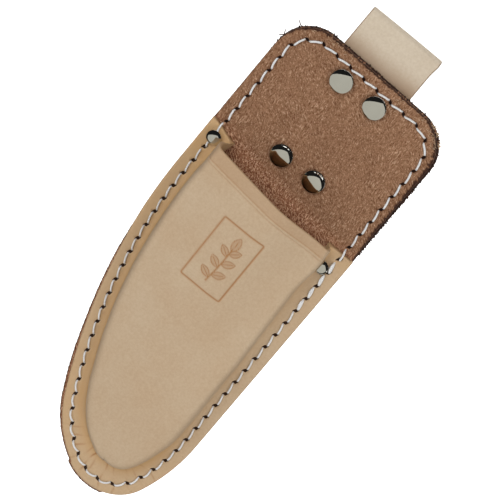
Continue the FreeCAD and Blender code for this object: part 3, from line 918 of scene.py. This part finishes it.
def make_loop():
    """The strap, a little narrower at its ends and fuller in the middle."""
    line, section = strap_line(), strap_section()
    ahead = directions(line)
    along = lengths_along(line)
    total = along[-1]
    rows, paints = [], []
    for place, centre, way in zip(along, line, ahead):
        end_gap = min(place, total - place)
        nearness = max(0.0, 1 - end_gap / STRAP_TAPER)
        pull = 1 - 0.14 * (1 - math.sqrt(1 - nearness ** 2))
        across = section[:, 0] * pull
        across = across * np.where(across < 0, 1.02 - 0.035 * centre[1] / LOOP_HIGH[2], 1.0)
        across = across + 0.5 * (across > 0) * math.exp(-((place - 36) / 3.0) ** 2)
        bulge = 0.14 * (1 - (across / STRAP_HALF) ** 2) * math.sin(place / total * math.pi)
        depth = section[:, 1] * (1.0 if end_gap > 0.5 else 0.72) + bulge
        y = centre[0] - way[1] * depth
        z = centre[1] + way[0] * depth
        rows.append(np.column_stack([across, z, -(y + FRONT)]))
        paint = np.zeros((len(section), 3))
        # the front leg's lower end, near the panel, is painted browner: burnish, and painted
        # contact shade from the panel
        paint[:, 0] = smooth_step(30, 18, place)
        paint[:, 2] = np.abs(section[:, 0]) > STRAP_HALF - 0.45
        paints.append(paint)
    strap = Builder()
    strap.close_ends(strap.grid(np.stack(rows), np.stack(paints), closed_columns=True))
    return strap.make("folded_strap", "belt_loop")


# ---- threads
def around(path):
    """Two unit directions square to the path at every point."""
    ahead = directions(path)
    side = np.cross(ahead, [0.0, 0.0, 1.0])
    side[np.linalg.norm(side, axis=1) < 1e-6] = (1, 0, 0)
    side = unit(side)
    return side, np.cross(side, ahead)


def tube(builder, path, radius, sides=7, paint=(0, 0, 0)):
    """A closed tube round a path of (x, z, rise) points."""
    side, over = around(path)
    angles = np.linspace(0, 2 * math.pi, sides, endpoint=False)[:, None]
    ring = side[:, None] * np.cos(angles) + over[:, None] * np.sin(angles)
    points = path[:, None] + ring * radius
    paint = np.zeros(points.shape) + np.array(paint)
    builder.close_ends(builder.grid(points, paint, closed_columns=True))


def stitch_path(start, end, across, level, way, bow, dive=1.3, samples=26):
    """Middle line of one stitch, out of one hole and into the next."""
    parts = np.linspace(0, 1, samples)
    arch = np.sin(np.pi * parts)
    run = 1.0 + (np.linalg.norm(end - start) - 1.9) * parts
    lateral = parts - 0.5 + bow * arch
    lift = np.minimum(arch * 3.2, 1.0) ** 0.7
    rise = level + way * (-dive + (dive + 0.3) * lift + 0.1 * arch)
    flat = start + unit(end - start) * run[:, None] + across * lateral[:, None]
    return np.column_stack([flat, rise])


def twisted(builder, path, strand=0.27, offset=0.2, pitch=1.5):
    """Three strands wound round the path."""
    side, over = around(path)
    turns = lengths_along(path)[:, None] / pitch
    for share in (0, 1 / 3, 2 / 3):
        angle = 2 * math.pi * (turns + share)
        tube(builder, path + (side * np.cos(angle) + over * np.sin(angle)) * offset, strand)


# heights between which the seam's right side is stitched twice
TACK_LOW, TACK_HIGH = -86, -62


def make_needle_thread():
    """Front stitches, with the doubled tacking stitches below the right rivet."""
    thread = Builder()
    centre = np.array([(PANEL_LOW[0] + PANEL_HIGH[0]) / 2, -80.0])
    for number in range(len(HOLES)):
        start, end = HOLES[number - 1], HOLES[number]
        middle = (start + end) / 2
        across = unit(HOLE_ACROSS[number] + HOLE_ACROSS[number - 1])
        if np.dot(across, centre - middle) > 0:
            across = -across
        level = LEATHER if max(below_mouth(start), below_mouth(end)) > 0 else 0.0
        bow = 0.25 + 0.35 * float(smooth_step(-165, -195, middle[1]))
        path = stitch_path(start, end, across, level, 1, bow)
        if rivet_distance(*middle, ["mouth_left"]) < 4.5:
            path = path[rivet_distance(path[:, 0], path[:, 1], ["mouth_left"]) > 2.9]
            if len(path) < 6:
                continue
        twisted(thread, path)
        if middle[0] > 20 and TACK_LOW < middle[1] < TACK_HIGH:
            twisted(thread, stitch_path(start, end, across, level + 0.2, 1, bow - 0.75))
    return thread.make("front_stitches", "needle_thread")


def make_bobbin_thread():
    """Stitches on the back, except under the caps at the mouth."""
    thread = Builder()
    for number in range(len(HOLES)):
        start, end = HOLES[number - 1], HOLES[number]
        if rivet_distance(*(start + end) / 2, MOUTH_RIVETS) >= 3.4:
            twisted(thread, stitch_path(start, end, HOLE_ACROSS[number], -PANEL_DEPTH, -1, 0.15))
    return thread.make("back_stitches", "bobbin_thread")


# ---- rivets
# how high the straight skirt below each dome is, as a share of the cap's rise
SKIRT_SHARES = {"upper_left": 0.58, "upper_right": 0.55, "lower_left": 0.36, "lower_right": 0.34,
                "mouth_left": 0.4, "mouth_right": 0.4}
# how far the lower heads' domes lean up, and the radius of every cap's rolled rim
HEAD_LEAN, ROLL_RADIUS = 1.0, 0.32


def make_dome(name, part, way):
    """A pressed cap with a rolled rim, standing out from the leather."""
    low, high = node_box(f"{name}_rivet_{part}")
    radius = (high[0] - low[0]) / 2
    rise = high[1] - low[1]
    base = -(high[1] if way > 0 else low[1]) - FRONT
    skirt = SKIRT_SHARES[name] * rise
    roll, dome = ROLL_RADIUS, radius - 0.22
    ball = (dome ** 2 + (rise - skirt) ** 2) / (2 * (rise - skirt))
    widest = math.asin(dome / ball)
    profile = [(0, 0), (radius - 0.5, 0)]
    for angle in np.linspace(-90, 60, 9):
        turn = math.radians(angle)
        profile.append((radius - roll + roll * math.cos(turn),
                        skirt - roll + roll * math.sin(turn)))
    profile[2] = (radius - 0.3, 0.05)
    for angle in np.linspace(widest * 0.97, 0, 22):
        profile.append((ball * math.sin(angle), rise - ball + ball * math.cos(angle)))
    turns = np.linspace(0, 2 * math.pi, 72, endpoint=False)
    centre = rivet_centre(name)
    lean = HEAD_LEAN if name.startswith("lower") and way > 0 else 0.0
    rows = []
    for reach, level in profile:
        shift = lean * smooth_step(skirt, rise, level)
        rows.append(np.column_stack([centre[0] + reach * np.cos(turns),
                                     centre[1] + reach * np.sin(turns) + shift,
                                     np.full(len(turns), base + way * level)]))
    cap = Builder()
    cap.grid(np.stack(rows), closed_columns=True)
    return cap.make(f"{name}_{part}_dome", f"{name}_rivet_{part}")


# ---- materials
def rgba(colour):
    """A grey or an RGB colour as the four numbers of a colour socket."""
    if isinstance(colour, (int, float)):
        colour = (colour, colour, colour)
    return (*colour, 1)


class Nodes:
    """Short helpers for one node tree."""

    def __init__(self, name):
        self.material = bpy.data.materials.new(name)
        self.material.use_nodes = True
        self.tree = self.material.node_tree
        self.shader = self.tree.nodes["Principled BSDF"]
        self.place = self.add("ShaderNodeTexCoord").outputs["Object"]

    def add(self, kind, **inputs):
        node = self.tree.nodes.new(kind)
        for key, value in inputs.items():
            self.feed(node.inputs[key.replace("_", " ")], value)
        return node

    def feed(self, socket, value):
        if isinstance(value, bpy.types.NodeSocket):
            self.tree.links.new(value, socket)
        else:
            socket.default_value = value

    def noise(self, scale, detail=4.0, roughness=0.55, distortion=0.0, turn=0.0, stretch=1.0):
        """Noise, turned in the panel's plane and then stretched along its height."""
        place = self.place
        for change in ({"Rotation": (0, turn, 0)}, {"Scale": (1, 1, stretch)}):
            place = self.add("ShaderNodeMapping", Vector=place, **change).outputs[0]
        node = self.add("ShaderNodeTexNoise", Vector=place, Scale=scale, Detail=detail,
                        Roughness=roughness, Distortion=distortion)
        return node.outputs["Fac"]

    def cells(self, scale):
        node = self.add("ShaderNodeTexVoronoi", Vector=self.place, Scale=scale)
        return node.outputs["Distance"]

    def ramp(self, value, stops):
        node = self.add("ShaderNodeValToRGB", Fac=value)
        ramp = node.color_ramp
        while len(ramp.elements) < len(stops):
            ramp.elements.new(0.5)
        for element, (position, colour) in zip(ramp.elements, stops):
            element.position = position
            element.color = rgba(colour)
        return node.outputs["Color"]

    def mix(self, share, first, second, blend="MIX"):
        node = self.tree.nodes.new("ShaderNodeMix")
        node.data_type = "RGBA"
        node.blend_type = blend
        self.feed(node.inputs["Factor"], share)
        for key, value in (("A", first), ("B", second)):
            socket = [item for item in node.inputs if item.name == key and item.type == "RGBA"][0]
            self.feed(socket, value if isinstance(value, bpy.types.NodeSocket) else rgba(value))
        return [item for item in node.outputs if item.type == "RGBA"][0]

    def shade(self, share, colour, value, stops):
        """The colour multiplied by a ramp."""
        return self.mix(share, colour, self.ramp(value, stops), "MULTIPLY")

    def math(self, operation, first, second=0.0, clamp=False):
        node = self.tree.nodes.new("ShaderNodeMath")
        node.operation = operation
        node.use_clamp = clamp
        self.feed(node.inputs[0], first)
        self.feed(node.inputs[1], second)
        return node.outputs[0]

    def times(self, first, second, clamp=False):
        return self.math("MULTIPLY", first, second, clamp)

    def layer(self, name):
        node = self.add("ShaderNodeAttribute")
        node.attribute_name = name
        return self.add("ShaderNodeSeparateXYZ", Vector=node.outputs["Vector"]).outputs

    def slits(self, half_length=1.85, half_width=0.95):
        """Masks of the awl slits, inside which shade is painted, and of the pale rims round them.
        """
        cosine, sine, side = self.layer("seam")
        phase = self.math("ARCTAN2", sine, cosine)
        run = self.times(phase, STITCH_PITCH / (2 * math.pi))
        tilt_cosine, tilt_sine = math.cos(SLIT_TILT), math.sin(SLIT_TILT)
        gaps = []
        for first, second, half in ((tilt_cosine, tilt_sine, half_length),
                                    (-tilt_sine, tilt_cosine, half_width)):
            turned = self.math("ADD", self.times(run, first), self.times(side, second))
            gaps.append(self.math("DIVIDE", self.math("ABSOLUTE", turned), half))
        reach = self.math("ADD", *gaps)
        hole_shade = self.ramp(reach, [(0.85, 1), (1.0, 0)])
        near = self.ramp(self.times(reach, 0.5), [(0.5, 1), (0.78, 0)])
        return hole_shade, near

    def bump(self, height, strength, distance, normal=None):
        node = self.add("ShaderNodeBump", Height=height, Strength=strength, Distance=distance)
        if normal is not None:
            self.feed(node.inputs["Normal"], normal)
        return node.outputs["Normal"]

    def finish(self, colour, roughness, normal=None, **constants):
        self.feed(self.shader.inputs["Base Color"], colour)
        self.feed(self.shader.inputs["Roughness"], roughness)
        if normal is not None:
            self.feed(self.shader.inputs["Normal"], normal)
        for key, value in constants.items():
            self.shader.inputs[key.replace("_", " ")].default_value = value
        return self.material


def vegetable_tanned(name, pale, warm, burnish_and_shade, burnt, raw_edge):
    """Smooth undyed leather: mottled, browner where it was worked and where shade is painted in."""
    nodes = Nodes(name)
    parts = nodes.layer("paint")
    clouds = nodes.noise(38, 5, 0.6)
    colour = nodes.mix(nodes.ramp(clouds, [(0.35, 0), (0.7, 1)]), pale, warm)
    fine = nodes.noise(950, 3, 0.65)
    colour = nodes.shade(0.3, colour, fine, [(0.3, (0.74, 0.64, 0.52)), (0.7, 1.12)])
    patches = nodes.ramp(nodes.noise(60, 4), [(0.2, 0.75), (0.8, 1.15)])
    # paint channel 0: burnish, with painted shade at the pocket wall's foot and where the strap
    # meets the panel
    colour = nodes.mix(nodes.times(parts[0], patches, clamp=True), colour, burnish_and_shade)
    speck = nodes.ramp(nodes.cells(430), [(0.02, 1), (0.07, 0)])
    rare = nodes.ramp(nodes.noise(120, 2), [(0.62, 0), (0.72, 1)])
    colour = nodes.mix(nodes.times(nodes.times(speck, rare), 0.35), colour, burnt)
    colour = nodes.mix(parts[1], colour, burnt)
    colour = nodes.mix(parts[2], colour, raw_edge)
    hole_shade, near = nodes.slits()
    colour = nodes.mix(nodes.times(near, 0.35), colour, (0.66, 0.5, 0.32))
    # painted shade inside the awl holes
    colour = nodes.mix(hole_shade, colour, (0.026, 0.009, 0.004))
    normal = nodes.bump(nodes.noise(1500, 4, 0.6), 0.12, 0.0004)
    normal = nodes.bump(nodes.cells(1150), 0.1, 0.0003, normal)
    rough = nodes.ramp(nodes.noise(90, 3), [(0.3, 0.46), (0.75, 0.6)])
    return nodes.finish(colour, rough, normal, Specular_IOR_Level=0.35)


def suede(name):
    """Napped flesh side: short fibres lying in all directions."""
    nodes = Nodes(name)
    parts = nodes.layer("paint")
    combed = [nodes.noise(1900, 3, 0.65, 0.3, turn, stretch=0.32) for turn in (0.95, 0.1)]
    patches = nodes.ramp(nodes.noise(90, 3), [(0.42, 0), (0.58, 1)])
    nap = nodes.mix(0.62, nodes.noise(1900, 3, 0.7, distortion=0.6), nodes.mix(patches, *combed))
    clumps = nodes.noise(260, 4, 0.65, distortion=0.6)
    clouds = nodes.noise(42, 4, 0.6)
    colour = nodes.ramp(nap, [(0.37, (0.085, 0.032, 0.014)), (0.46, (0.2, 0.1, 0.054)),
                              (0.54, (0.3, 0.17, 0.1)), (0.66, (0.6, 0.42, 0.29))])
    # paint channel 0 (the suede just above the pocket's mouth, and the brown loose fibres) gets a
    # redder, more contrasting nap that is lifted brighter: painted light against the pocket's shade
    # at the mouth
    nap_with_painted_light = nodes.ramp(nap, [(0.4, (0.085, 0.026, 0.013)), (0.5, (0.28, 0.135, 0.075)),
                              (0.6, (0.7, 0.48, 0.33))])
    colour = nodes.mix(parts[0], colour, nap_with_painted_light)
    colour = nodes.shade(0.5, colour, clumps, [(0.3, (0.75, 0.68, 0.62)), (0.7, (1.15, 1.12, 1.1))])
    colour = nodes.shade(0.5, colour, clouds, [(0.3, (0.86, 0.82, 0.8)), (0.7, 1.1)])
    colour = nodes.mix(parts[0], colour, (1.14, 1.08, 1.04), "MULTIPLY")
    colour = nodes.mix(parts[1], colour, (0.55, 0.4, 0.26))
    edge = nodes.ramp(nap, [(0.4, (0.012, 0.005, 0.004)), (0.6, (0.06, 0.024, 0.016))])
    colour = nodes.mix(parts[2], colour, edge)
    hole_shade, near = nodes.slits(1.55, 0.8)
    colour = nodes.mix(nodes.times(near, 0.3), colour, (0.12, 0.055, 0.03))
    # painted shade inside the awl holes
    colour = nodes.mix(hole_shade, colour, (0.012, 0.004, 0.003))
    normal = nodes.bump(clumps, 0.35, 0.0006)
    normal = nodes.bump(nap, 0.6, 0.0005, normal)
    return nodes.finish(colour, 0.95, normal, Specular_IOR_Level=0.1, Sheen_Weight=0.15,
                        Sheen_Roughness=0.5, Sheen_Tint=rgba((0.9, 0.75, 0.62)))


def dark_grain(name):
    """Dark dyed grain side with a pebbled surface."""
    nodes = Nodes(name)
    parts = nodes.layer("paint")
    colour = nodes.mix(nodes.noise(55, 4), (0.03, 0.015, 0.012), (0.075, 0.038, 0.026))
    fibres = nodes.noise(900, 4, 0.65)
    edge = nodes.ramp(fibres, [(0.35, (0.014, 0.006, 0.005)), (0.7, (0.09, 0.04, 0.028))])
    colour = nodes.mix(parts[2], colour, edge)
    # painted shade inside the awl holes
    colour = nodes.mix(nodes.slits()[0], colour, (0.004, 0.003, 0.003))
    normal = nodes.bump(nodes.cells(620), 0.35, 0.0004)
    normal = nodes.bump(nodes.noise(260, 5, 0.6), 0.25, 0.0005, normal)
    rough = nodes.ramp(nodes.noise(80, 3), [(0.3, 0.42), (0.8, 0.62)])
    return nodes.finish(colour, nodes.mix(parts[2], rough, 0.95), normal, Specular_IOR_Level=0.3)


def waxed_thread(name):
    nodes = Nodes(name)
    fibres = nodes.noise(2600, 4, 0.6)
    colour = nodes.ramp(fibres, [(0.3, 0.6), (0.7, (0.86, 0.87, 0.88))])
    stain = nodes.ramp(nodes.noise(70, 3), [(0.5, 0), (0.9, 0.4)])
    colour = nodes.mix(stain, colour, (0.62, 0.55, 0.46))
    return nodes.finish(colour, 0.55, nodes.bump(fibres, 0.3, 0.0002), Specular_IOR_Level=0.4)


def nickel(name):
    """Polished nickel plate with faint scratches."""
    nodes = Nodes(name)
    scratches = nodes.noise(300, 6, 0.75, stretch=7)
    rough = nodes.ramp(scratches, [(0.35, 0.03), (0.8, 0.09)])
    colour = nodes.mix(nodes.noise(150, 3), (0.71, 0.7, 0.64), (0.8, 0.79, 0.73))
    return nodes.finish(colour, rough, nodes.bump(nodes.noise(500, 3), 0.03, 0.0003), Metallic=1.0)


def give(piece, material):
    if not piece.material_slots:
        piece.data.materials.append(material)
        return
    for slot in piece.material_slots:
        slot.material = material


# ---- stage
def view_axes(rise=20.0, roll=39.5):
    """The camera's right, up and backward directions."""
    lift, turn = math.radians(rise), math.radians(roll)
    towards = Vector((0, math.cos(lift), -math.sin(lift)))
    upward = Vector((0, math.sin(lift), math.cos(lift)))
    sideways = Vector((1, 0, 0))
    right = sideways * math.cos(turn) + upward * math.sin(turn)
    up = upward * math.cos(turn) - sideways * math.sin(turn)
    return right, up, -towards


def add_camera():
    distance, focus = 0.8, Vector((6.2, -FRONT, -80.0)) * MM
    right, up, back = view_axes()
    data = bpy.data.cameras.new("camera")
    data.sensor_width = 36
    data.lens = 138.24
    data.clip_start = 0.01
    camera = bpy.data.objects.new("camera", data)
    turn = Matrix((right, up, back)).transposed().to_4x4()
    camera.matrix_world = Matrix.Translation(focus + back * distance) @ turn
    bpy.context.scene.collection.objects.link(camera)
    bpy.context.scene.camera = camera


def add_softbox(name, place, size, power):
    """A lamp that lights the object and stays out of the reflections."""
    data = bpy.data.lights.new(name, "AREA")
    data.shape = "RECTANGLE"
    data.size, data.size_y = size
    data.energy = power
    lamp = bpy.data.objects.new(name, data)
    lamp.location = place
    lamp.rotation_euler = (LAMP_TARGET - Vector(place)).to_track_quat("-Z", "Y").to_euler()
    lamp.visible_glossy = False
    bpy.context.scene.collection.objects.link(lamp)


def add_sheet(name, corners, colour, roughness, glow, strength):
    """A flat glowing piece of the stage."""
    mesh = bpy.data.meshes.new(name)
    mesh.from_pydata(corners, [], [list(range(len(corners)))])
    sheet = bpy.data.objects.new(name, mesh)
    bpy.context.scene.collection.objects.link(sheet)
    material = bpy.data.materials.new(name + "_look")
    material.use_nodes = True
    sockets = material.node_tree.nodes["Principled BSDF"].inputs
    sockets["Base Color"].default_value = rgba(colour)
    sockets["Roughness"].default_value = roughness
    sockets["Emission Color"].default_value = rgba(glow)
    sockets["Emission Strength"].default_value = strength
    give(sheet, material)
    sheet.visible_diffuse = False
    return sheet


def add_floor(radius=9, drop=0.12, sides=64):
    floor_z = PANEL_LOW[2] * MM - drop
    ring = [(math.cos(angle) * radius, math.sin(angle) * radius, floor_z)
            for angle in np.linspace(0, 2 * math.pi, sides, endpoint=False)]
    floor = add_sheet("floor", ring, 0.8, 0.9, 1, 0.85)
    floor.visible_glossy = False


def add_card(name, corners, glow, strength):
    """A card that only shows up as a reflection in the polished caps."""
    card = add_sheet(name, corners, 0, 0.5, glow, strength)
    card.visible_camera = False
    card.visible_shadow = False
    card.visible_transmission = False


def add_world():
    """White behind the object, soft light on it and a dark room in the reflections."""
    world = bpy.data.worlds.new("studio")
    world.use_nodes = True
    tree = world.node_tree
    rays = tree.nodes.new("ShaderNodeLightPath")
    soft = tree.nodes["Background"]
    soft.inputs["Color"].default_value = (1.0, 0.985, 0.96, 1)
    soft.inputs["Strength"].default_value = 0.5
    shader = soft.outputs[0]
    for share, grey in (("Is Glossy Ray", 0.012), ("Is Camera Ray", 1)):
        other = tree.nodes.new("ShaderNodeBackground")
        other.inputs["Color"].default_value = rgba(grey)
        mix = tree.nodes.new("ShaderNodeMixShader")
        tree.links.new(rays.outputs[share], mix.inputs[0])
        tree.links.new(shader, mix.inputs[1])
        tree.links.new(other.outputs[0], mix.inputs[2])
        shader = mix.outputs[0]
    tree.links.new(shader, tree.nodes["World Output"].inputs["Surface"])
    bpy.context.scene.world = world


LAMP_TARGET = Vector((0.0, 0.0, -0.09))
# name, place, width and height, power
LAMPS = [("key", (-0.6, -1.1, 0.7), (0.8, 0.8), 7.4),
         ("fill", (0.9, -1.0, -0.1), (0.8, 0.9), 8.2),
         ("low_fill", (-0.9, -0.8, -0.8), (0.9, 0.9), 5.0),
         ("back_key", (0.5, 1.1, 0.6), (0.8, 0.8), 12)]
# name, corners, colour, strength
CARDS = [("window_card", [(-2.2, -0.6, -1.1), (-0.5, -0.6, 0.05), (0.3, -0.6, 0.5),
                          (2.3, -0.6, -0.6), (2.5, -0.6, -3.0), (-2.4, -0.6, -3.0)],
          (0.51, 0.5, 0.455), 1.0),
         ("ceiling_card", [(-0.9, -0.03, 0.8), (0.9, -0.03, 0.8), (0.9, 0.4, 0.8),
                           (-0.9, 0.4, 0.8)], 1, 1.8),
         ("side_card", [(1.3, -0.1, -0.5), (1.3, -0.1, 0.5), (1.3, 0.3, 0.5),
                        (1.3, 0.3, -0.5)], 1, 1.5),
         ("rear_card", [(-0.7, 0.8, -0.6), (0.7, 0.8, -0.6), (0.7, 0.8, 0.4),
                        (-0.7, 0.8, 0.4)], (0.69, 0.73, 0.66), 0.9)]


# ---- build
add_camera()
add_floor()
add_world()
for lamp in LAMPS:
    add_softbox(*lamp)
for card in CARDS:
    add_card(*card)
bpy.context.scene.view_settings.view_transform = "Standard"

natural = vegetable_tanned("pocket_leather_look", (0.495, 0.378, 0.257), (0.47, 0.343, 0.222),
                           (0.51, 0.318, 0.15), (0.33, 0.15, 0.05), (0.4, 0.26, 0.14))
pale_strap = vegetable_tanned("strap_leather_look", (0.585, 0.505, 0.4), (0.55, 0.465, 0.36),
                              (0.36, 0.245, 0.16), (0.3, 0.18, 0.09), (0.27, 0.17, 0.09))
brown_suede = suede("suede_look")
dark_backing = dark_grain("dark_grain_look")
white_thread = waxed_thread("thread_look")
bright_nickel = nickel("nickel_look")

give(make_pocket(), natural)
give(make_ply("front_ply", "suede_panel", (PLY_GAP - PLY, 0.0), (1.0, 0.35), 0.2,
              decorate_suede, 0.6), brown_suede)
give(make_ply("rear_ply", "backing_panel", (-2 * PLY, -PLY - PLY_GAP), (0.0, 0.0),
              0.12, decorate_backing, 1), dark_backing)
give(make_loop(), pale_strap)
give(make_fibres(), brown_suede)
give(make_needle_thread(), white_thread)
give(make_bobbin_thread(), white_thread)
for rivet in PANEL_RIVETS + MOUTH_RIVETS:
    give(make_dome(rivet, "head", 1), bright_nickel)
    give(make_dome(rivet, "cap", -1), bright_nickel)
    for part in ("stem", "socket"):
        give(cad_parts[f"{rivet}_rivet_{part}"], bright_nickel)
